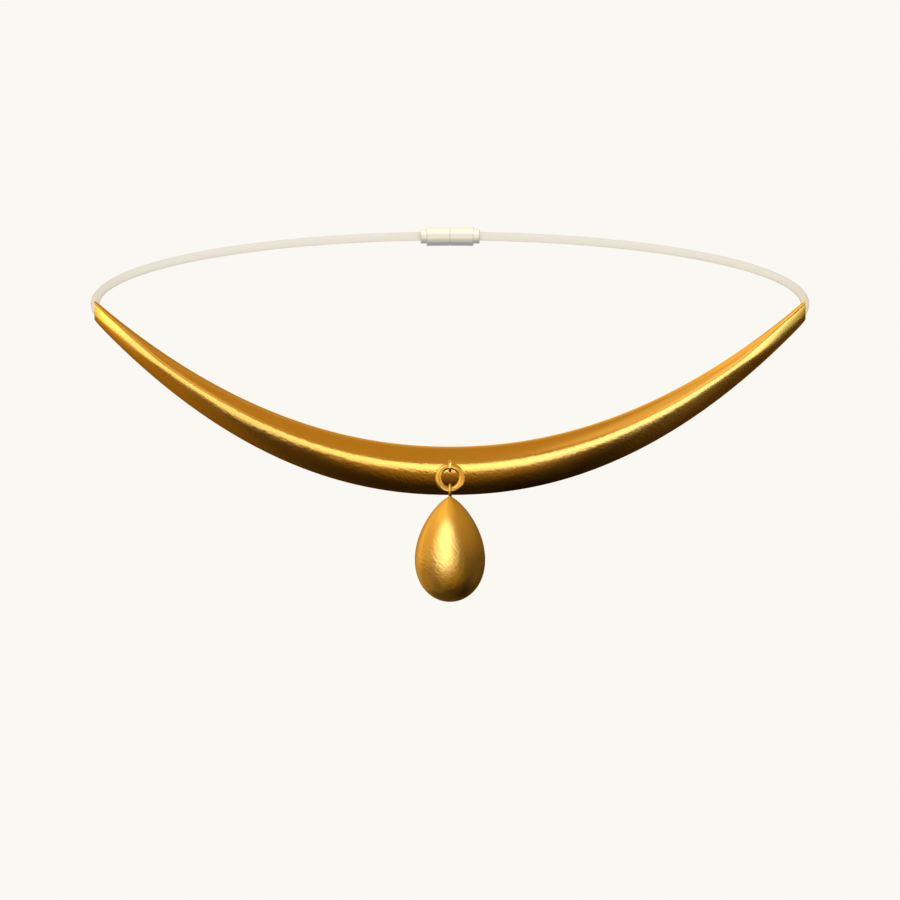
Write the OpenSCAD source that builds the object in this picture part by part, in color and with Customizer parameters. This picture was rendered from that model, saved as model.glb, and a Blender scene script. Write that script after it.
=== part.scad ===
// Rigid choker: a gold crescent collar on a pale neck wire, with a drop hanging from a ring.
// Millimetres. +Z is up, the front faces -Y and +X runs along the choker's width.
// The origin is the middle of the neck hollow, level with the loop's widest points.

/* [Collar] */
// Width between the two cut ends
collar_w = 130; // [124:1:136]
// Half the depth of the collar's oval plan
collar_depth = 56; // [53:0.5:60]
// How far round the oval each end lies, in degrees from the middle of the front
tip_angle = 76.7; // [74:0.1:79]
// Height of the top edge at the middle of the front
front_top = -26.2; // [-28:0.1:-25]
// Height of the band at the middle of the front
front_h = 8.8; // [7.5:0.1:10]
// Height of the top edge at the cut ends
tip_top = 0.6; // [0.3:0.05:0.9]
// Height of the band at the cut ends
tip_h = 3.8; // [3.4:0.1:4.4]
// Thickness at the middle of the front
front_t = 4.6; // [4:0.1:5.5]
// Thickness at the cut ends
tip_t = 2.9; // [2.7:0.1:3.2]

/* [Neck wire and clasp] */
// Diameter of the neck wire over its coat
wire_d = 1.6; // [1.4:0.1:1.7]
// How deep the wire sits in the collar's end
socket_depth = 2.6; // [2:0.1:4]
// Length of the clasp's barrel, with its end rims
clasp_l = 11; // [9:0.5:14]
// Diameter of the clasp's barrel
clasp_d = 3.6; // [3.2:0.1:4.5]

/* [Ring and drop] */
// Mean radius of the hanging ring
ring_r = 2.13; // [2:0.01:2.3]
// Diameter of the ring's wire
ring_wire_d = 1.1; // [1:0.05:1.2]
// Diameter of the lug's wire
lug_wire_d = 0.5; // [0.45:0.05:0.8]
// Diameter of the wire of the drop's eye
eye_wire_d = 0.5; // [0.45:0.05:0.6]
// Length of the drop from its tip to its foot
drop_l = 19.2; // [17:0.1:21]
// Greatest diameter of the drop
drop_d = 12.8; // [11:0.1:14]

/* [Fits] */
// Gap all round the wire in its sockets and in the clasp
wire_play = 0.05; // [0.03:0.01:0.08]
// Play of the ring in the lug
lug_play = 0.1; // [0.08:0.01:0.15]
// Play of the ring in the drop's eye
eye_play = 0.15; // [0.12:0.01:0.2]

/* [Hidden] */
$fn = 64;

gold = [0.83, 0.58, 0.16];
pale_coat = [0.93, 0.90, 0.84];
steel = [0.80, 0.79, 0.76];

half_w = collar_w / 2;
wire_r = wire_d / 2;
ring_wire_r = ring_wire_d / 2;
lug_wire_r = lug_wire_d / 2;
eye_wire_r = eye_wire_d / 2;

// The collar's edges rise from the middle to the ends, a little faster than a parabola.
top_power = 2.06;
bottom_power = 2.12;
front_bottom = front_top - front_h;
tip_bottom = tip_top - tip_h;

function edge_rise(x, power) = pow(abs(x) / half_w, power);
function top_edge(x) = front_top + (tip_top - front_top) * edge_rise(x, top_power);
function bottom_edge(x) = front_bottom + (tip_bottom - front_bottom) * edge_rise(x, bottom_power);

// The outer side of each cut end is filed flat, which takes this much off the ridge there.
end_flat = 0.6;

// In plan the collar's ridge follows an oval whose middle is still to be placed along Y.
ridge_w = (half_w + end_flat) / sin(tip_angle);

function unit(v) = v / norm(v);
function outward(angle) = unit([sin(angle) / ridge_w, -cos(angle) / collar_depth]);
function ridge(angle) = [ridge_w * sin(angle), -collar_depth * cos(angle)];

// The neck wire is one circle, tilted back so that it leaves the middle of each end beside its flat.
loop_r = half_w;
filed_off = end_flat / outward(tip_angle)[0];
tip_centre = ridge(tip_angle) - outward(tip_angle) * (filed_off + tip_t) / 2;
tip_centre_z = (top_edge(tip_centre[0]) + bottom_edge(tip_centre[0])) / 2;
leave_angle = acos(tip_centre[0] / loop_r);
loop_back = loop_r * sin(leave_angle);
loop_tilt = asin(-tip_centre_z / loop_back);
loop_y = tip_centre[1] + loop_back * cos(loop_tilt);

// The oval and the wire's circle are moved together so that the origin halves the hollow's depth.
hollow_front = front_t - collar_depth;
hollow_back = loop_y + (loop_r - wire_r) * cos(loop_tilt);
middle_y = -(hollow_front + hollow_back) / 2;

// The collar's section: a soft ridge between two bevels in front, and a flat back with eased corners.
// Towards the cut ends the front squares up.
ridge_height = 0.58;
edge_depth = 0.82;
ridge_power = 1.6;
bevel_power = 1.25;
end_power = 5;
end_bevel_power = 3;
back_power = 8;
squaring_from = 50;
section_points = 28;
collar_steps = 72;

function smooth(t) = t * t * (3 - 2 * t);
function squared_up(angle) =
    smooth(min(1, max(0, (abs(angle) - squaring_from) / (tip_angle - squaring_from))));
function blend(a, b, share) = a + (b - a) * share;
function signed_power(v, power) = sign(v) * pow(abs(v), power);

// One point of the section as [depth from the ridge, height above the bottom edge], both as shares.
function section_point(turn, share) =
    let (
        front = cos(turn) >= 0,
        across = front ? blend(bevel_power, end_bevel_power, share) : back_power,
        along = front ? blend(ridge_power, end_power, share) : back_power,
        reach = pow(abs(cos(turn)), 2 / across),
        lift = signed_power(sin(turn), 2 / along)
    )
    [
        front ? edge_depth * (1 - reach) : edge_depth + (1 - edge_depth) * reach,
        lift >= 0 ? ridge_height + (1 - ridge_height) * lift : ridge_height * (1 + lift)
    ];

function thickness(angle) = tip_t + (front_t - tip_t) * (1 - pow(sin(angle) / sin(tip_angle), 2));

// The section set in place, each point between the two edges at its own distance from the middle.
function collar_point(angle, turn) =
    let (
        share = section_point(turn, squared_up(angle)),
        plan = ridge(angle) - outward(angle) * thickness(angle) * share[0]
    )
    [plan[0], plan[1] + middle_y, blend(bottom_edge(plan[0]), top_edge(plan[0]), share[1])];

function collar_angle(step) = tip_angle * (2 * step / collar_steps - 1);

collar_points = [
    for (step = [0 : collar_steps])
        for (i = [0 : section_points - 1])
            collar_point(collar_angle(step), 360 * i / section_points)
];

function at(step, i) = step * section_points + i % section_points;

collar_side_faces = [
    for (step = [0 : collar_steps - 1])
        for (i = [0 : section_points - 1])
            for (face = [
                [at(step, i), at(step, i + 1), at(step + 1, i + 1)],
                [at(step, i), at(step + 1, i + 1), at(step + 1, i)]
            ])
                face
];
collar_end_faces = [
    [for (i = [section_points - 1 : -1 : 0]) at(0, i)],
    [for (i = [0 : section_points - 1]) at(collar_steps, i)]
];

// The ring hangs just in front of the ridge, with its top tube in the lug.
ridge_gap = 0.15;
ring_above_ridge = 0.14;
ring_y = middle_y - collar_depth - ring_wire_r - ridge_gap;
ring_top_z = front_bottom + ridge_height * front_h + ring_above_ridge;
ring_z = ring_top_z - ring_r;
ring_bottom_z = ring_z - ring_r;

// What hangs keeps this gap where it bears, so that no two pieces touch.
bearing_gap = 0.05;
lug_r = ring_wire_r + lug_play + lug_wire_r;
lug_z = ring_top_z + lug_play - bearing_gap;
eye_r = ring_wire_r + eye_play + eye_wire_r;
eye_z = ring_bottom_z - eye_play + bearing_gap;

// The drop's outline is one formula: a share of its length to one power, and what is left to another.
shoulder_power = 0.75;
foot_power = 0.5;
drop_steps = 48;
widest_at = shoulder_power / (shoulder_power + foot_power);

function swell(t) = pow(t, shoulder_power) * pow(1 - t, foot_power);
function drop_share(step) = (1 - cos(180 * step / drop_steps)) / 2;
function drop_radius(t) = drop_d / 2 * swell(t) / swell(widest_at);

// The eye's lowest wire is sunk in a short neck on the drop's tip.
neck_r = 0.34;
neck_h = 0.6;
neck_over_wire = 0.05;
neck_above_tip = 0.2;
neck_top_z = eye_z - eye_r + neck_over_wire;
tip_z = neck_top_z - neck_above_tip;

clasp_turn = clasp_l / loop_r * 180 / PI;
rim_l = 1.1;
rim_wall = 0.55;
rim_turn = rim_l / loop_r * 180 / PI;
rim_d = wire_d + 2 * rim_wall;
wires_gap = 0.6;
socket_turn = socket_depth / loop_r * 180 / PI;
wire_end_gap = 0.2;

// A length of round bar on the loop's circle, from one turn to another, counted from +X to the back.
module loop_bar(radius, from, to) {
    translate([0, loop_y + middle_y, 0])
        rotate([loop_tilt, 0, 0])
            rotate([0, 0, from])
                rotate_extrude(angle = to - from)
                    translate([loop_r, 0])
                        circle(r = radius);
}

// A round wire bent to a closed ring, standing in the XZ plane.
module wire_ring(mean_r, radius) {
    rotate([90, 0, 0])
        rotate_extrude()
            translate([mean_r, 0])
                circle(r = radius);
}

module socket() {
    loop_bar(wire_r + wire_play, -leave_angle - socket_turn, -leave_angle + socket_turn);
}

module collar() {
    color(gold)
        union() {
            difference() {
                intersection() {
                    polyhedron(points = collar_points, faces = concat(collar_side_faces, collar_end_faces));
                    cube([collar_w, 2 * collar_w, 2 * collar_w], center = true);
                }
                socket();
                mirror([1, 0, 0])
                    socket();
            }
            translate([0, ring_y, lug_z])
                rotate([0, 0, 90])
                    wire_ring(lug_r, lug_wire_r);
        }
}

module neck_wire() {
    start = -leave_angle - socket_turn * (1 - wire_end_gap / socket_depth);
    end = 90 - wires_gap / 2 / loop_r * 180 / PI;
    color(pale_coat)
        loop_bar(wire_r, start, end);
}

module neck_wire_right() {
    neck_wire();
}

module neck_wire_left() {
    mirror([1, 0, 0])
        neck_wire();
}

module clasp() {
    color(steel)
        difference() {
            union() {
                loop_bar(clasp_d / 2, 90 - clasp_turn / 2 + rim_turn, 90 + clasp_turn / 2 - rim_turn);
                loop_bar(rim_d / 2, 90 - clasp_turn / 2, 90 + clasp_turn / 2);
            }
            loop_bar(wire_r + wire_play, 90 - clasp_turn, 90 + clasp_turn);
        }
}

module ring() {
    color(gold)
        translate([0, ring_y, ring_z])
            wire_ring(ring_r, ring_wire_r);
}

module drop() {
    outline = [
        for (step = [0 : drop_steps])
            let (t = drop_share(step))
            [step % drop_steps == 0 ? 0 : drop_radius(t), tip_z - drop_l * t]
    ];
    color(gold)
        translate([0, ring_y, 0])
            union() {
                rotate_extrude()
                    polygon(outline);
                translate([0, 0, neck_top_z - neck_h])
                    cylinder(h = neck_h, r = neck_r);
                translate([0, 0, eye_z])
                    rotate([0, 0, 90])
                        wire_ring(eye_r, eye_wire_r);
            }
}

collar();
neck_wire_left();
neck_wire_right();
clasp();
ring();
drop();
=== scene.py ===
"""Looks for the rigid choker: gold crescent collar, pale neck wire with a barrel clasp, ring and drop."""

import math

import bpy
from mathutils import Matrix, Vector


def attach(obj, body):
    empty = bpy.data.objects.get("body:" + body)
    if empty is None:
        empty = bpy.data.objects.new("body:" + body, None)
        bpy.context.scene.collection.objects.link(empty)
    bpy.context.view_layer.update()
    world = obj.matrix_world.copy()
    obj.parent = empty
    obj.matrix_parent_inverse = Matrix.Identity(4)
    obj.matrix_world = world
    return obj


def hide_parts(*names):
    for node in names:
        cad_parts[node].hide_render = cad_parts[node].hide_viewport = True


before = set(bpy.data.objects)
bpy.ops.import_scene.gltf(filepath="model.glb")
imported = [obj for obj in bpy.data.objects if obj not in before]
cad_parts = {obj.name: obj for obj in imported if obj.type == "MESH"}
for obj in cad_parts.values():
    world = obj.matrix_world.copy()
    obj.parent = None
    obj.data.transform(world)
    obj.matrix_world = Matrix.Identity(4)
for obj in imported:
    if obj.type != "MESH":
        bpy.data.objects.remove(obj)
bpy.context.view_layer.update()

MM = 0.001

# The same driving sizes as the solids, in millimetres.
HALF_W = 65.0
COLLAR_DEPTH = 56.0
TIP_ANGLE = 76.7
FRONT_TOP, FRONT_BOTTOM = -26.2, -35.0
TIP_TOP, TIP_BOTTOM = 0.6, -3.2
TOP_POWER, BOTTOM_POWER = 2.06, 2.12
FRONT_T, TIP_T = 4.6, 2.9
RIDGE_HEIGHT, EDGE_DEPTH = 0.58, 0.82
RIDGE_POWER, BEVEL_POWER = 1.6, 1.25
END_POWER, END_BEVEL_POWER = 5.0, 3.0
BACK_POWER = 8.0
SQUARING_FROM = 50.0
END_FLAT = 0.6
WIRE_R, SOCKET_R = 0.8, 0.85
SOCKET_DEPTH, WIRE_END_GAP, WIRES_GAP = 2.6, 0.2, 0.6
RING_R, RING_WIRE_R = 2.13, 0.55
LUG_R, LUG_WIRE_R, LUG_PLAY = 0.9, 0.25, 0.1
EYE_R, EYE_WIRE_R, EYE_PLAY = 0.95, 0.25, 0.15
RIDGE_GAP, RING_ABOVE_RIDGE, BEARING_GAP = 0.15, 0.14, 0.05
DROP_L, DROP_R = 19.2, 6.4
SHOULDER_POWER, FOOT_POWER = 0.75, 0.5
NECK_R, NECK_OVER_WIRE, NECK_ABOVE_TIP = 0.34, 0.05, 0.2
CLASP_L, CLASP_R = 11.0, 1.796
RIM_L, RIM_R = 1.1, 1.346
# The solids' round wire has 64 sides, so that the one turned here is a hair slimmer.
WIRE_SKIN = 0.004

# Fine work that only the looks have, in millimetres.
END_BEVEL = 0.16
BEAD_RISES, BEAD_BEHIND_LUG, BEAD_HALF_SIZES = (0.62, -0.6), 0.85, (0.36, 0.22, 0.26)
CLASP_EASE, BORE_EASE = 0.12, 0.06
PARTING_HALF_W, PARTING_DEPTH = 0.04, 0.09
NECK_FILLET = 0.16
# The dome of the drop's neck as (depth, radius), and the flat that closes its foot.
NECK_DOME = ((0, 0.16), (0.02, 0.26), (0.08, 0.32), (0.16, NECK_R))
DROP_STEPS, FOOT_FLAT_R = 120, 0.03
# Where the ring's soldered seam lies, in radians from its lowest point, and how slim the wire is there.
SEAM_TURN, SEAM_SHARE = 0.9, 0.985
# Edges sharper than this, in degrees, stay crisp.
CRISP_ANGLE, CRISP_CLASP_ANGLE, CRISP_DROP_ANGLE = 35, 30, 50

RIDGE_W = (HALF_W + END_FLAT) / math.sin(math.radians(TIP_ANGLE))


def deselect_all():
    """Leaves edit mode and deselects every object."""
    if bpy.context.object and bpy.context.object.mode != "OBJECT":
        bpy.ops.object.mode_set(mode="OBJECT")
    bpy.ops.object.select_all(action="DESELECT")


def make_active(piece):
    deselect_all()
    piece.select_set(True)
    bpy.context.view_layer.objects.active = piece


def edit(piece, mode="VERT"):
    """Edit mode on one piece, with nothing selected."""
    make_active(piece)
    bpy.ops.object.mode_set(mode="EDIT")
    bpy.ops.mesh.select_mode(type=mode)
    bpy.ops.mesh.select_all(action="DESELECT")


def select_rim_of(piece, wanted):
    """Edit mode on one piece, with the edges round its wanted faces selected."""
    edit(piece, "FACE")
    bpy.ops.object.mode_set(mode="OBJECT")
    for face in piece.data.polygons:
        face.select = wanted(face)
    bpy.ops.object.mode_set(mode="EDIT")
    bpy.ops.mesh.region_to_loop()


def finish_shell(piece, angle=CRISP_ANGLE):
    """Merges what meets, closes the ends, turns the faces outwards and smooths the shading."""
    edit(piece)
    bpy.ops.mesh.select_all(action="SELECT")
    bpy.ops.mesh.remove_doubles(threshold=0.001 * MM)
    bpy.ops.mesh.select_all(action="DESELECT")
    bpy.ops.mesh.select_non_manifold()
    bpy.ops.mesh.fill_holes(sides=0)
    bpy.ops.mesh.select_all(action="SELECT")
    bpy.ops.mesh.normals_make_consistent(inside=False)
    bpy.ops.object.mode_set(mode="OBJECT")
    bpy.ops.object.shade_smooth_by_angle(angle=math.radians(angle))


def cut_or_join(piece, other, operation):
    """A boolean of two closed shells. The second one is removed and the slivers left behind are merged."""
    make_active(piece)
    modifier = piece.modifiers.new("solder", "BOOLEAN")
    modifier.operation = operation
    modifier.solver = "EXACT"
    modifier.object = other
    bpy.ops.object.modifier_apply(modifier=modifier.name)
    bpy.data.objects.remove(other)
    edit(piece)
    bpy.ops.mesh.select_all(action="SELECT")
    bpy.ops.mesh.remove_doubles(threshold=0.002 * MM)
    bpy.ops.mesh.dissolve_degenerate(threshold=0.001 * MM)
    bpy.ops.mesh.select_all(action="DESELECT")
    bpy.ops.mesh.select_non_manifold()
    bpy.ops.mesh.fill_holes(sides=0)
    bpy.ops.object.mode_set(mode="OBJECT")


def bent_rod(name, centre, axis, arm, stations, sides=32):
    """A round rod bent about an axis. Stations are (turn in degrees, radius), counted from the arm."""
    deselect_all()
    turn, radius = stations[0]
    place = centre + Matrix.Rotation(math.radians(turn), 3, axis) @ arm
    facing = axis.cross(place - centre).to_track_quat("Z", "Y").to_euler()
    bpy.ops.mesh.primitive_circle_add(vertices=sides, radius=radius * MM, fill_type="NOTHING",
                                      location=place * MM, rotation=facing)
    piece = bpy.context.object
    piece.name = name
    bpy.ops.object.transform_apply(location=True, rotation=True, scale=True)
    bpy.ops.object.mode_set(mode="EDIT")
    bpy.ops.mesh.select_all(action="SELECT")
    for next_turn, next_radius in stations[1:]:
        if abs(next_turn - turn) > 1e-6:
            bpy.ops.mesh.spin(steps=1, angle=math.radians(turn - next_turn), center=centre * MM, axis=axis)
        else:
            bpy.ops.mesh.extrude_edges_move(TRANSFORM_OT_translate={"value": (0, 0, 0)})
        if abs(next_radius - radius) > 1e-6:
            place = centre + Matrix.Rotation(math.radians(next_turn), 3, axis) @ arm
            share = next_radius / radius
            bpy.ops.transform.resize(value=(share, share, share), center_override=place * MM)
        turn, radius = next_turn, next_radius
    bpy.ops.object.mode_set(mode="OBJECT")
    return piece


def even_turns(start, end, radius, step):
    """Stations of one radius at even turns."""
    count = max(2, round(abs(end - start) / step))
    return [(start + (end - start) * i / count, radius) for i in range(count + 1)]


def edge_rise(x, low, high, power):
    """The height of one of the collar's edges, from its low middle to its high ends."""
    return low + (high - low) * (abs(x) / HALF_W) ** power


def signed_power(value, power):
    return math.copysign(abs(value) ** power, value)


def outward(angle):
    """The level direction that points out of the collar at an angle round its oval."""
    x, y = math.sin(angle) / RIDGE_W, -math.cos(angle) / COLLAR_DEPTH
    length = math.hypot(x, y)
    return x / length, y / length


def collar_thickness(angle):
    share = math.sin(angle) / math.sin(math.radians(TIP_ANGLE))
    return TIP_T + (FRONT_T - TIP_T) * (1 - share ** 2)


def middle_of_loop():
    """The neck wire's circle: its centre, its tilt back in radians and the turn in degrees at which it leaves
    the collar. With it, how far the collar's oval is moved to put the neck hollow's middle at the origin."""
    tip = math.radians(TIP_ANGLE)
    out = outward(tip)
    middle = (END_FLAT / out[0] + TIP_T) / 2
    tip_x = RIDGE_W * math.sin(tip) - out[0] * middle
    tip_y = -COLLAR_DEPTH * math.cos(tip) - out[1] * middle
    tip_z = (edge_rise(tip_x, FRONT_TOP, TIP_TOP, TOP_POWER)
             + edge_rise(tip_x, FRONT_BOTTOM, TIP_BOTTOM, BOTTOM_POWER)) / 2
    leave = math.acos(tip_x / HALF_W)
    back = HALF_W * math.sin(leave)
    tilt = math.asin(-tip_z / back)
    loop_y = tip_y + back * math.cos(tilt)
    hollow_back = loop_y + (HALF_W - WIRE_R) * math.cos(tilt)
    shift = -(FRONT_T - COLLAR_DEPTH + hollow_back) / 2
    return Vector((0, loop_y + shift, 0)), tilt, math.degrees(leave), shift


LOOP_CENTRE, LOOP_TILT, LEAVE_ANGLE, MIDDLE_Y = middle_of_loop()
LOOP_AXIS = Vector((0, -math.sin(LOOP_TILT), math.cos(LOOP_TILT)))
LOOP_ARM = Vector((HALF_W, 0, 0))

SOCKET_TURN = math.degrees(SOCKET_DEPTH / HALF_W)

RING_Y = MIDDLE_Y - COLLAR_DEPTH - RING_WIRE_R - RIDGE_GAP
RING_TOP_Z = FRONT_BOTTOM + RIDGE_HEIGHT * (FRONT_TOP - FRONT_BOTTOM) + RING_ABOVE_RIDGE
RING_CENTRE = Vector((0, RING_Y, RING_TOP_Z - RING_R))
LUG_CENTRE = Vector((0, RING_Y, RING_TOP_Z + LUG_PLAY - BEARING_GAP))
EYE_CENTRE = Vector((0, RING_Y, RING_TOP_Z - 2 * RING_R - EYE_PLAY + BEARING_GAP))
NECK_TOP_Z = EYE_CENTRE.z - EYE_R + NECK_OVER_WIRE
DROP_TIP_Z = NECK_TOP_Z - NECK_ABOVE_TIP


def collar_point(angle, turn):
    """A point of the collar's skin in millimetres, from its turn round the oval and round the section."""
    ease = min(1, max(0, (abs(math.degrees(angle)) - SQUARING_FROM) / (TIP_ANGLE - SQUARING_FROM)))
    ease = ease * ease * (3 - 2 * ease)
    front = math.cos(turn) >= 0
    across = BEVEL_POWER + (END_BEVEL_POWER - BEVEL_POWER) * ease if front else BACK_POWER
    along = RIDGE_POWER + (END_POWER - RIDGE_POWER) * ease if front else BACK_POWER
    reach = abs(math.cos(turn)) ** (2 / across)
    lift = signed_power(math.sin(turn), 2 / along)
    depth = EDGE_DEPTH * (1 - reach) if front else EDGE_DEPTH + (1 - EDGE_DEPTH) * reach
    height = RIDGE_HEIGHT + (1 - RIDGE_HEIGHT) * lift if lift >= 0 else RIDGE_HEIGHT * (1 + lift)
    out = outward(angle)
    x = RIDGE_W * math.sin(angle) - out[0] * collar_thickness(angle) * depth
    y = -COLLAR_DEPTH * math.cos(angle) - out[1] * collar_thickness(angle) * depth
    bottom = edge_rise(x, FRONT_BOTTOM, TIP_BOTTOM, BOTTOM_POWER)
    top = edge_rise(x, FRONT_TOP, TIP_TOP, TOP_POWER)
    return Vector((x, y + MIDDLE_Y, bottom + (top - bottom) * height))


def make_collar():
    """A flat sheet, ruled in squares, is rolled to the collar's skin and closed at both ends. The ends are
    eased, filed flat and bored for the wires. The lug is soldered on the ridge, a bead above and below it."""
    deselect_all()
    bpy.ops.mesh.primitive_grid_add(x_subdivisions=288, y_subdivisions=96, size=1, calc_uvs=True)
    piece = bpy.context.object
    piece.name = "gold_collar"
    for v in piece.data.vertices:
        v.co = collar_point(2 * v.co.x * math.radians(TIP_ANGLE), v.co.y * 2 * math.pi) * MM
    finish_shell(piece)
    # Only the two faces that close the ends have more than four corners.
    select_rim_of(piece, lambda face: len(face.vertices) > 4)
    bpy.ops.mesh.bevel(offset=END_BEVEL * MM, segments=3, profile=0.5, clamp_overlap=True)
    bpy.ops.object.mode_set(mode="OBJECT")
    # Each end is filed flat on its outer side: what stands outside the stock's two sides comes off.
    bpy.ops.mesh.primitive_cube_add(size=1, scale=(2 * HALF_W * MM, 4 * HALF_W * MM, 4 * HALF_W * MM))
    stock = bpy.context.object
    bpy.ops.object.transform_apply(location=True, rotation=True, scale=True)
    cut_or_join(piece, stock, "INTERSECT")
    bore = even_turns(-LEAVE_ANGLE - SOCKET_TURN, -LEAVE_ANGLE + SOCKET_TURN, SOCKET_R, step=0.8)
    for side in (1, -1):
        cutter = bent_rod("cutter", LOOP_CENTRE, LOOP_AXIS * side, LOOP_ARM * side, bore)
        finish_shell(cutter)
        cut_or_join(piece, cutter, "DIFFERENCE")
    lug = bent_rod("lug", LUG_CENTRE, Vector((1, 0, 0)), Vector((0, LUG_R, 0)),
                   even_turns(0, 360, LUG_WIRE_R, step=7.5), sides=24)
    finish_shell(lug)
    cut_or_join(piece, lug, "UNION")
    for rise in BEAD_RISES:
        deselect_all()
        place = Vector((0, RING_Y + BEAD_BEHIND_LUG, LUG_CENTRE.z + rise)) * MM
        bpy.ops.mesh.primitive_uv_sphere_add(segments=32, ring_count=16, radius=MM, location=place,
                                             scale=BEAD_HALF_SIZES)
        bead = bpy.context.object
        bpy.ops.object.transform_apply(location=True, rotation=True, scale=True)
        cut_or_join(piece, bead, "UNION")
    filed_sides = (HALF_W - 0.001) * MM
    select_rim_of(piece, lambda face: abs(face.center.x) > filed_sides)
    bpy.ops.mesh.mark_sharp()
    bpy.ops.object.mode_set(mode="OBJECT")
    bpy.ops.object.shade_smooth_by_angle(angle=math.radians(CRISP_ANGLE))
    return piece


def make_wire(side):
    """Half of the neck wire, from its socket in the collar to the middle of the clasp."""
    start = -LEAVE_ANGLE - math.degrees((SOCKET_DEPTH - WIRE_END_GAP) / HALF_W)
    end = 90 - math.degrees(WIRES_GAP / 2 / HALF_W)
    name = "coated_wire_right" if side > 0 else "coated_wire_left"
    piece = bent_rod(name, LOOP_CENTRE, LOOP_AXIS * side, LOOP_ARM * side,
                     even_turns(start, end, WIRE_R - WIRE_SKIN, step=0.75))
    finish_shell(piece)
    return piece


def make_clasp():
    """A barrel with a rim at each end and a fine parting line, bored through for both wires."""
    def turn(length):
        return 90 + math.degrees(length / HALF_W)

    def eased_step(length, radius):
        """A rounded rim: out from below its radius, over a quarter turn, to its full radius."""
        return [(length, radius - CLASP_EASE), (length + CLASP_EASE * 0.4, radius - CLASP_EASE * 0.3),
                (length + CLASP_EASE, radius)]

    half = CLASP_L / 2
    shoulder = half - RIM_L
    outside = eased_step(-half, RIM_R)
    outside += [(-shoulder - 0.05, RIM_R), (-shoulder, RIM_R)]
    outside += eased_step(-shoulder, CLASP_R)
    outside += [(-shoulder + 0.3 + (shoulder - 0.4) * i / 8, CLASP_R) for i in range(9)]
    outside += [(-PARTING_HALF_W, CLASP_R - PARTING_DEPTH)]
    mirrored = [(-length, radius) for length, radius in reversed(outside)]
    bore_half = half - BORE_EASE
    bore = [(half, SOCKET_R + BORE_EASE)]
    bore += [(bore_half - 2 * bore_half * i / 12, SOCKET_R) for i in range(13)]
    bore += [(-half, SOCKET_R + BORE_EASE), outside[0]]
    stations = [(turn(length), radius) for length, radius in outside + mirrored + bore]
    piece = bent_rod("barrel_clasp", LOOP_CENTRE, LOOP_AXIS, LOOP_ARM, stations, sides=64)
    finish_shell(piece, CRISP_CLASP_ANGLE)
    return piece


def make_ring():
    """A plain wire ring with the fine seam of its soldered joint."""
    stations = [(turn, RING_WIRE_R * (SEAM_SHARE if turn in (0, 360) else 1)) for turn in range(0, 361, 3)]
    seam = RING_R * Vector((math.sin(SEAM_TURN), 0, -math.cos(SEAM_TURN)))
    piece = bent_rod("hanging_ring", RING_CENTRE, Vector((0, 1, 0)), seam, stations, sides=40)
    finish_shell(piece)
    return piece


def drop_radius(t):
    """The drop's radius at a share of its length, from its tip."""
    def swell(share):
        return share ** SHOULDER_POWER * (1 - share) ** FOOT_POWER

    widest = SHOULDER_POWER / (SHOULDER_POWER + FOOT_POWER)
    return DROP_R * swell(t) / swell(widest)


def drop_stations():
    """The heights and radii that the drop is turned from: its domed neck, a fillet and its body."""
    stations = [(NECK_TOP_Z - depth, radius) for depth, radius in NECK_DOME]
    for i in range(1, DROP_STEPS):
        t = (1 - math.cos(math.pi * i / DROP_STEPS)) / 2
        z = DROP_TIP_Z - DROP_L * t
        body = drop_radius(t)
        closeness = max(0.0, NECK_FILLET - abs(body - NECK_R)) / NECK_FILLET
        if z < stations[-1][0] - 0.03 or t > 0.5:
            stations.append((z, max(body, NECK_R) + NECK_FILLET * closeness ** 2 / 4))
    return stations + [(DROP_TIP_Z - DROP_L, FOOT_FLAT_R)]


def make_drop():
    """The drop is turned from its neck down, ring by ring, and its eye is soldered on."""
    stations = drop_stations()
    deselect_all()
    z, radius = stations[0]
    bpy.ops.mesh.primitive_circle_add(vertices=128, radius=radius * MM, fill_type="NGON",
                                      location=(0, RING_Y * MM, z * MM))
    piece = bpy.context.object
    piece.name = "gold_drop"
    bpy.ops.object.transform_apply(location=True, rotation=True, scale=True)
    bpy.ops.object.mode_set(mode="EDIT")
    bpy.ops.mesh.select_all(action="SELECT")
    bpy.ops.mesh.delete(type="ONLY_FACE")
    bpy.ops.mesh.select_mode(type="VERT")
    bpy.ops.mesh.select_all(action="SELECT")
    for next_z, next_radius in stations[1:]:
        bpy.ops.mesh.extrude_edges_move(TRANSFORM_OT_translate={"value": (0, 0, (next_z - z) * MM)})
        share = next_radius / radius
        bpy.ops.transform.resize(value=(share, share, 1), center_override=(0, RING_Y * MM, next_z * MM))
        z, radius = next_z, next_radius
    bpy.ops.object.mode_set(mode="OBJECT")
    finish_shell(piece, CRISP_DROP_ANGLE)
    eye = bent_rod("eye", EYE_CENTRE, Vector((1, 0, 0)), Vector((0, 0, -EYE_R)),
                   even_turns(0, 360, EYE_WIRE_R, step=7.5), sides=20)
    finish_shell(eye)
    cut_or_join(piece, eye, "UNION")
    make_active(piece)
    bpy.ops.object.shade_smooth_by_angle(angle=math.radians(CRISP_DROP_ANGLE))
    return piece


collar = make_collar()
wire_right = make_wire(1)
wire_left = make_wire(-1)
clasp = make_clasp()
ring = make_ring()
drop = make_drop()


def new_group(name, inputs, outputs):
    """An empty node group with the sockets listed, and its input and output nodes."""
    group = bpy.data.node_groups.new(name, "ShaderNodeTree")
    for label, kind, default in inputs:
        socket = group.interface.new_socket(label, in_out="INPUT", socket_type=kind)
        socket.default_value = default
    for label, kind in outputs:
        group.interface.new_socket(label, in_out="OUTPUT", socket_type=kind)
    return group, group.nodes.new("NodeGroupInput"), group.nodes.new("NodeGroupOutput")


def add(tree, kind, **values):
    """A node, with its properties and the values of its named inputs set."""
    node = tree.nodes.new(kind)
    for key, value in values.items():
        if hasattr(node, key):
            setattr(node, key, value)
        else:
            node.inputs[key.replace("_", " ")].default_value = value
    return node


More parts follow.
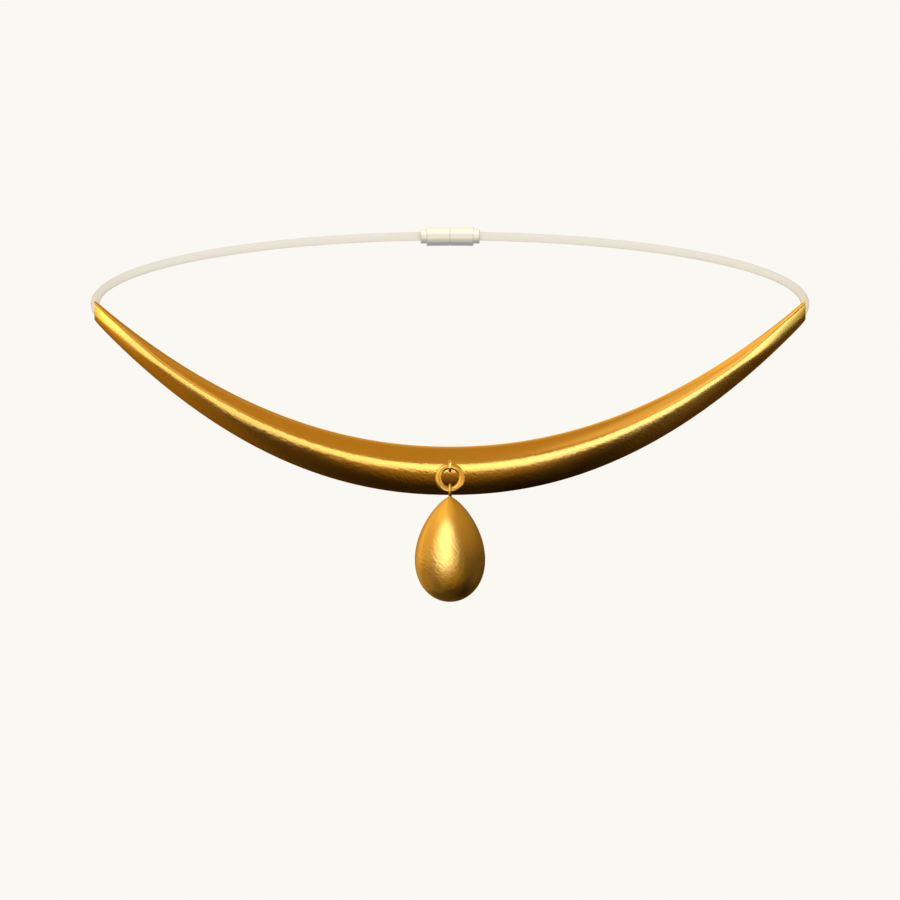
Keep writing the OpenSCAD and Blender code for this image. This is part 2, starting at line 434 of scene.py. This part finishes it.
def join(tree, *pairs):
    for start, end in pairs:
        tree.links.new(start, end)


def polish_group():
    """Slanting streaks left by the polishing cloth, with a finer grain in them, as a height from 0 to 1."""
    group, start, end = new_group(
        "polishing_streaks",
        [("Vector", "NodeSocketVector", (0, 0, 0)), ("Across", "NodeSocketFloat", 3000.0),
         ("Grain", "NodeSocketFloat", 0.25)],
        [("Height", "NodeSocketFloat")])
    streaks = add(group, "ShaderNodeTexNoise", Detail=1.0, Roughness=0.4)
    grain = add(group, "ShaderNodeTexNoise", Detail=2.0, Roughness=0.6)
    finer = add(group, "ShaderNodeMath", operation="MULTIPLY")
    finer.inputs[1].default_value = 2.3
    blend = add(group, "ShaderNodeMix")
    join(group,
         (start.outputs["Vector"], streaks.inputs["Vector"]),
         (start.outputs["Vector"], grain.inputs["Vector"]),
         (start.outputs["Across"], streaks.inputs["Scale"]),
         (start.outputs["Across"], finer.inputs[0]),
         (finer.outputs[0], grain.inputs["Scale"]),
         (start.outputs["Grain"], blend.inputs["Factor"]),
         (streaks.outputs["Fac"], blend.inputs["A"]),
         (grain.outputs["Fac"], blend.inputs["B"]),
         (blend.outputs["Result"], end.inputs["Height"]))
    return group


def handling_group():
    """Broad, faint patches left by handling: a roughness and a tone, each between two values."""
    group, start, end = new_group(
        "handling_wear",
        [("Vector", "NodeSocketVector", (0, 0, 0)), ("Size", "NodeSocketFloat", 120.0),
         ("Polished", "NodeSocketFloat", 0.22), ("Handled", "NodeSocketFloat", 0.27),
         ("Bright", "NodeSocketColor", (1, 1, 1, 1)), ("Dull", "NodeSocketColor", (1, 1, 1, 1))],
        [("Roughness", "NodeSocketFloat"), ("Tone", "NodeSocketColor")])
    patches = add(group, "ShaderNodeTexNoise", Detail=4.0, Roughness=0.6)
    spread = add(group, "ShaderNodeMapRange")
    spread.inputs["From Min"].default_value = 0.35
    spread.inputs["From Max"].default_value = 0.65
    tone = add(group, "ShaderNodeMix", data_type="RGBA")
    join(group,
         (start.outputs["Vector"], patches.inputs["Vector"]),
         (start.outputs["Size"], patches.inputs["Scale"]),
         (patches.outputs["Fac"], spread.inputs["Value"]),
         (start.outputs["Polished"], spread.inputs["To Min"]),
         (start.outputs["Handled"], spread.inputs["To Max"]),
         (patches.outputs["Fac"], tone.inputs["Factor"]),
         (start.outputs["Bright"], tone.inputs[6]),
         (start.outputs["Dull"], tone.inputs[7]),
         (spread.outputs["Result"], end.inputs["Roughness"]),
         (tone.outputs[2], end.inputs["Tone"]))
    return group


POLISH = polish_group()
HANDLING = handling_group()


def finish_material(name, colours, metallic, roughness, lean, stretch, across, depth, fades=()):
    """A finish whose colour and roughness wander a little and whose streaks lean and stretch as given.

    A fade is (coordinate, axis, low, high, rest): the streaks die out to their rest from low to high.
    Along X it is the distance from the middle that counts."""
    material = bpy.data.materials.new(name)
    material.use_nodes = True
    tree = material.node_tree
    shader = tree.nodes["Principled BSDF"]
    shader.inputs["Metallic"].default_value = metallic
    place = add(tree, "ShaderNodeTexCoord")
    mapping = add(tree, "ShaderNodeMapping", vector_type="TEXTURE", Rotation=lean, Scale=stretch)
    polish = add(tree, "ShaderNodeGroup")
    polish.node_tree = POLISH
    polish.inputs["Across"].default_value = across
    wear = add(tree, "ShaderNodeGroup")
    wear.node_tree = HANDLING
    wear.inputs["Polished"].default_value, wear.inputs["Handled"].default_value = roughness
    wear.inputs["Bright"].default_value, wear.inputs["Dull"].default_value = colours
    bump = add(tree, "ShaderNodeBump", Strength=1.0, Distance=depth)
    join(tree,
         (place.outputs["Object"], mapping.inputs["Vector"]),
         (mapping.outputs["Vector"], polish.inputs["Vector"]),
         (place.outputs["Object"], wear.inputs["Vector"]),
         (wear.outputs["Roughness"], shader.inputs["Roughness"]),
         (wear.outputs["Tone"], shader.inputs["Base Color"]),
         (polish.outputs["Height"], bump.inputs["Height"]),
         (bump.outputs["Normal"], shader.inputs["Normal"]))
    strength = None
    for coordinate, axis, low, high, rest in fades:
        split = add(tree, "ShaderNodeSeparateXYZ")
        join(tree, (place.outputs[coordinate], split.inputs[0]))
        along = split.outputs[axis]
        if axis == "X":
            distance = add(tree, "ShaderNodeMath", operation="ABSOLUTE")
            join(tree, (along, distance.inputs[0]))
            along = distance.outputs[0]
        dying = add(tree, "ShaderNodeMapRange")
        dying.inputs["From Min"].default_value, dying.inputs["From Max"].default_value = low, high
        dying.inputs["To Min"].default_value, dying.inputs["To Max"].default_value = 1.0, rest
        join(tree, (along, dying.inputs["Value"]))
        if strength is None:
            strength = dying.outputs["Result"]
        else:
            both = add(tree, "ShaderNodeMath", operation="MULTIPLY")
            join(tree, (strength, both.inputs[0]), (dying.outputs["Result"], both.inputs[1]))
            strength = both.outputs[0]
    if strength is not None:
        join(tree, (strength, bump.inputs["Strength"]))
    return material


def plain_material(name, colour, roughness):
    material = bpy.data.materials.new(name)
    material.use_nodes = True
    shader = material.node_tree.nodes["Principled BSDF"]
    shader.inputs["Base Color"].default_value = (*colour, 1)
    shader.inputs["Roughness"].default_value = roughness
    return material


LEVEL = (0, 0, 0)
SLANT = (0, math.radians(45), 0)
# Each finish has a bright and a dull tone.
GOLDS = ((1.0, 0.53, 0.115, 1), (0.98, 0.5, 0.1, 1))
PALER_GOLDS = ((1.0, 0.6, 0.17, 1), (0.98, 0.57, 0.15, 1))
MILKY = ((0.93, 0.9, 0.84, 1), (0.9, 0.87, 0.8, 1))
WHITE_METAL = ((0.86, 0.85, 0.82, 1), (0.82, 0.81, 0.78, 1))
# Seen along its surface, the collar keeps the colour of gold where plain metal would turn white.
COLLAR_EDGE_TINT = (0.95, 0.66, 0.3, 1)

collar_gold = finish_material(
    "collar_gold", GOLDS, metallic=1.0, roughness=(0.21, 0.26),
    lean=SLANT, stretch=(2.2, 2.5, 1), across=2700.0, depth=0.055 * MM,
    fades=(("Normal", "Z", 0.5, 0.64, 0.1), ("Object", "X", 0.036, 0.058, 0.15)))
drop_gold = finish_material(
    "drop_gold", PALER_GOLDS, metallic=1.0, roughness=(0.27, 0.31),
    lean=SLANT, stretch=(2, 2.5, 1), across=2300.0, depth=0.07 * MM,
    fades=(("Object", "Z", -0.0455, -0.0405, 0.1),))
collar_gold.node_tree.nodes["Principled BSDF"].inputs["Specular Tint"].default_value = COLLAR_EDGE_TINT
ring_gold = finish_material(
    "ring_gold", PALER_GOLDS, metallic=1.0, roughness=(0.24, 0.28),
    lean=LEVEL, stretch=(1, 2, 1), across=2600.0, depth=0.02 * MM)
wire_coat = finish_material(
    "wire_coat", MILKY, metallic=0.0, roughness=(0.3, 0.4),
    lean=LEVEL, stretch=(1, 1, 1), across=1500.0, depth=0.008 * MM)
clasp_metal = finish_material(
    "clasp_metal", WHITE_METAL, metallic=1.0, roughness=(0.18, 0.25),
    lean=LEVEL, stretch=(20, 1, 1), across=6000.0, depth=0.003 * MM)

for piece, body, nodes, slot, material in (
        (collar, "choker", ["collar"], "gold_plate", collar_gold),
        (wire_left, "choker", ["neck_wire_left"], "wire_coat", wire_coat),
        (wire_right, "choker", ["neck_wire_right"], "wire_coat", wire_coat),
        (clasp, "choker", ["clasp"], "clasp_metal", clasp_metal),
        (ring, "ring", ["ring"], "gold_plate", ring_gold),
        (drop, "drop", ["drop"], "gold_plate", drop_gold)):
    piece.data.materials.clear()
    piece.data.materials.append(material)
    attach(piece, body)
    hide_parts(*nodes)
    # No gold piece mirrors another, so that each keeps the plain shading of the picture.
    piece.visible_glossy = slot != "gold_plate"

BACKGROUND = (0.956, 0.939, 0.888, 1)
SURROUND = (1.0, 0.7, 0.12, 1)
FLOOR_R, FLOOR_Z = 0.5, -0.125
# What a soft box faces, unless its call names another place.
AIM = (0, 0, -0.03)
# The picture's width is measured in the upright plane of the collar's ends.
FRAME_WIDTH, FRAME_MIDDLE_Z, TIP_PLANE_Y = 0.16456, -0.02682, -0.0178
LONG_LENS, SENSOR_WIDTH = 1500, 36


def make_floor():
    deselect_all()
    bpy.ops.mesh.primitive_circle_add(vertices=96, radius=FLOOR_R, fill_type="NGON", location=(0, 0, FLOOR_Z))
    floor = bpy.context.object
    floor.name = "floor"
    floor.visible_glossy = False
    material = plain_material("floor_pale", BACKGROUND[:3], 1.0)
    floor.data.materials.append(material)


def soft_patch_group():
    """How bright a soft patch of the surround is in a direction."""
    group, start, end = new_group(
        "soft_patch",
        [("Direction", "NodeSocketVector", (0, 0, 0)), ("Toward", "NodeSocketVector", (0, 0, 1)),
         ("Edge", "NodeSocketFloat", 0.5), ("Core", "NodeSocketFloat", 0.9),
         ("Strength", "NodeSocketFloat", 1.0)],
        [("Light", "NodeSocketFloat")])
    dot = add(group, "ShaderNodeVectorMath", operation="DOT_PRODUCT")
    fade = add(group, "ShaderNodeMapRange", interpolation_type="SMOOTHSTEP")
    join(group,
         (start.outputs["Direction"], dot.inputs[0]),
         (start.outputs["Toward"], dot.inputs[1]),
         (dot.outputs["Value"], fade.inputs["Value"]),
         (start.outputs["Edge"], fade.inputs["From Min"]),
         (start.outputs["Core"], fade.inputs["From Max"]),
         (start.outputs["Strength"], fade.inputs["To Max"]),
         (fade.outputs["Result"], end.inputs["Light"]))
    return group


def toward(azimuth, elevation):
    """A direction from its azimuth, 0 in front and 90 at the right, and its elevation, in degrees."""
    a, e = math.radians(azimuth), math.radians(elevation)
    return Vector((math.sin(a) * math.cos(e), -math.cos(a) * math.cos(e), math.sin(e)))


def make_surround(levels, patches):
    """The camera sees an even pale ground. What shines sees a surround graded by height, with soft patches.

    A level is a height from -1 to 1 and its light. A patch is (azimuth, elevation, core, edge, strength), the
    first four in degrees."""
    world = bpy.data.worlds.new("studio")
    bpy.context.scene.world = world
    world.use_nodes = True
    tree = world.node_tree
    tree.nodes.clear()
    place = add(tree, "ShaderNodeTexCoord")
    split = add(tree, "ShaderNodeSeparateXYZ")
    ramp = add(tree, "ShaderNodeValToRGB")
    stops = ramp.color_ramp.elements
    lowest, highest = levels[0][1], levels[-1][1]
    stops[0].color = (lowest, lowest, lowest, 1)
    stops[1].color = (highest, highest, highest, 1)
    for height, level in levels[1:-1]:
        stops.new((height + 1) / 2).color = (level, level, level, 1)
    shift = add(tree, "ShaderNodeMapRange")
    shift.inputs["From Min"].default_value = -1
    join(tree,
         (place.outputs["Generated"], split.inputs[0]),
         (split.outputs["Z"], shift.inputs["Value"]),
         (shift.outputs["Result"], ramp.inputs["Fac"]))
    total = ramp.outputs["Color"]
    group = soft_patch_group()
    for azimuth, elevation, core, edge, strength in patches:
        patch = add(tree, "ShaderNodeGroup")
        patch.node_tree = group
        patch.inputs["Toward"].default_value = toward(azimuth, elevation)
        patch.inputs["Core"].default_value = math.cos(math.radians(core))
        patch.inputs["Edge"].default_value = math.cos(math.radians(edge))
        patch.inputs["Strength"].default_value = strength
        plus = add(tree, "ShaderNodeMath", operation="ADD")
        join(tree,
             (place.outputs["Generated"], patch.inputs["Direction"]),
             (total, plus.inputs[0]),
             (patch.outputs["Light"], plus.inputs[1]))
        total = plus.outputs[0]
    shine = add(tree, "ShaderNodeBackground", Color=SURROUND)
    even = add(tree, "ShaderNodeBackground", Color=BACKGROUND)
    path = add(tree, "ShaderNodeLightPath")
    choice = add(tree, "ShaderNodeMixShader")
    output = add(tree, "ShaderNodeOutputWorld")
    join(tree,
         (total, shine.inputs["Strength"]),
         (path.outputs["Is Glossy Ray"], choice.inputs["Fac"]),
         (even.outputs[0], choice.inputs[1]),
         (shine.outputs[0], choice.inputs[2]),
         (choice.outputs[0], output.inputs["Surface"]))


def softbox(name, toward_it, sizes, radiance, colour, piece, distance=1.0, facing=AIM, shape="RECTANGLE"):
    """An area light that lights one piece only. Its place is a direction from what it faces."""
    data = bpy.data.lights.new(name, "AREA")
    data.shape = shape
    data.size, data.size_y = sizes
    area = data.size * data.size_y * (1 if shape == "RECTANGLE" else math.pi / 4)
    data.energy = radiance * math.pi * area
    data.color = colour
    light = bpy.data.objects.new(name, data)
    bpy.context.scene.collection.objects.link(light)
    direction = toward(*toward_it)
    light.location = direction * distance + Vector(facing)
    light.rotation_euler = direction.to_track_quat("Z", "Y").to_euler()
    light.visible_camera = False
    receivers = bpy.data.collections.new(name + "_receivers")
    receivers.objects.link(piece)
    light.light_linking.receiver_collection = receivers


# Gold warms the light that it mirrors, so that its palest places need a cool one. Amber keeps the rest deep.
COOL = (0.72, 0.86, 1.0)
COLDER = (0.5, 0.66, 1.0)
COLDEST = (0.36, 0.58, 1.0)
PALE = (0.96, 1.0, 0.95)
AMBER = (1.0, 0.78, 0.33)
WHITE = (0.88, 0.95, 1.0)

make_floor()
make_surround(
    levels=[(-1, 0.012), (-0.87, 0.03), (-0.7, 0.06), (-0.5, 0.08),
            (0, 0.12), (0.5, 0.31), (0.8, 0.42), (1, 0.44)],
    patches=[(-145, 12, 10, 45, 0.28), (0, -25, 15, 55, 0.25), (-125, -12, 12, 36, 0.13),
             (180, 18, 5, 24, 0.12), (110, -22, 8, 22, 0.05), (130, -22, 25, 60, -0.035)])

# The band round the front is tall in the middle and low at the sides, where it follows the arms.
for turn, low, high, radiance, colour in (
        (-125, -1, 11, 3.2, COLDER), (-100, -17, 23, 1.75, COOL), (-75, -26, 38, 1.6, COOL),
        (-50, -26, 40, 1.6, COOL), (-25, -30, 35, 1.8, COOL), (0, -34, 36, 2.0, COOL),
        (25, -32, 44, 2.6, COLDER), (50, -24, 48, 2.7, COLDER), (75, -21, 48, 2.7, COLDER),
        (100, -14, 32, 2.8, COLDER), (125, 2, 14, 3.0, COLDEST)):
    height = 2 * math.tan(math.radians((high - low) / 2))
    softbox(f"band_{turn}", (turn, (low + high) / 2), (0.45, height), radiance, colour, collar)

softbox("over_right_arm", (0, 90), (0.09, 0.34), 0.36, PALE, collar, 0.1, (0.07, 0.065, -0.01))
softbox("behind_right_arm", (180, 42), (0.12, 0.09), 0.4, PALE, collar, 0.12, (0.055, -0.02, -0.01))
softbox("over_right_end", (0, 90), (0.03, 0.2), 0.5, COLDER, collar, 0.055, (0.07, 0.02, 0))
softbox("over_left_end", (0, 90), (0.03, 0.2), 0.3, WHITE, collar, 0.06, (-0.078, 0.015, 0))
softbox("behind_left_end", (-146, 27), (0.9, 0.5), 0.4, WHITE, collar, 1.1)
softbox("over_left_ridge", (-78, 48), (1.2, 0.6), 0.2, COOL, collar, 1.15)
softbox("behind_left_arm", (180, 52), (0.12, 0.09), 0.2, COLDEST, collar, 0.12, (-0.055, -0.02, -0.01))

softbox("drop_key_wide", (-13, 13), (1.6, 1.95), 0.5, COOL, drop, shape="ELLIPSE")
softbox("drop_key", (-18, 18), (1.15, 1.55), 0.7, COOL, drop, 0.97, shape="ELLIPSE")
softbox("drop_key_core", (-16, 22), (0.68, 1.17), 0.8, COOL, drop, 0.94)
softbox("drop_left", (-88, 35), (2.0, 2.0), 0.4, AMBER, drop, 1.1)
softbox("drop_left_low", (-105, -22), (2.6, 1.1), 0.06, AMBER, drop, 1.05, shape="ELLIPSE")
softbox("drop_low", (-68, -42), (1.7, 1.6), 0.115, AMBER, drop, 1.15, shape="ELLIPSE")
softbox("drop_foot", (-150, -52), (1.8, 1.5), 0.03, AMBER, drop, 1.25, shape="ELLIPSE")
softbox("drop_under", (60, -82), (1.1, 1.1), 0.03, AMBER, drop, 1.2, shape="ELLIPSE")
softbox("drop_top", (-60, 75), (1.2, 1.2), 0.26, AMBER, drop, 1.2)

softbox("ring_key", (-50, 15), (1.2, 1.6), 0.85, AMBER, ring, shape="ELLIPSE")
softbox("ring_left", (-90, 20), (1.6, 1.4), 0.35, AMBER, ring, 1.05)
softbox("ring_spark", (-35, 40), (0.6, 0.6), 1.3, COOL, ring, 0.95, shape="ELLIPSE")
softbox("ring_low", (-12, -40), (0.8, 0.7), 1.3, COOL, ring, 1.1)
softbox("ring_inner", (45, -25), (0.6, 0.6), 0.8, COOL, ring, 0.92, shape="ELLIPSE")
softbox("ring_right", (92, 2), (2.0, 1.7), 0.6, AMBER, ring, 1.15)
softbox("ring_front", (15, 5), (1.3, 1.6), 0.4, AMBER, ring, 1.25)

# Six boxes wrap the clasp from front to back, so that its white metal stays bright.
for turn, rise, radiance in (
        (0, 0, 0.75), (0, 60, 1.0), (180, 60, 0.85), (180, 0, 0.7), (180, -60, 0.4), (0, -60, 0.5)):
    softbox(f"clasp_{turn}_{rise}", (turn, rise), (2.2, 1.15), radiance, WHITE, clasp)
for turn in (90, -90):
    softbox(f"clasp_{turn}", (turn, 0), (1.6, 1.6), 0.6, WHITE, clasp, 1.15)

# The camera stands far off with a long lens, so that the front view is nearly flat.
camera = bpy.data.objects.new("camera", bpy.data.cameras.new("camera"))
bpy.context.scene.collection.objects.link(camera)
camera.data.lens = LONG_LENS
camera.data.sensor_width = SENSOR_WIDTH
reach = FRAME_WIDTH * camera.data.lens / camera.data.sensor_width
camera.location = (0, TIP_PLANE_Y - reach, FRAME_MIDDLE_Z)
camera.rotation_euler = (math.radians(90), 0, 0)
camera.data.clip_start, camera.data.clip_end = 0.1, 20
bpy.context.scene.camera = camera
bpy.context.scene.view_settings.view_transform = "Standard"
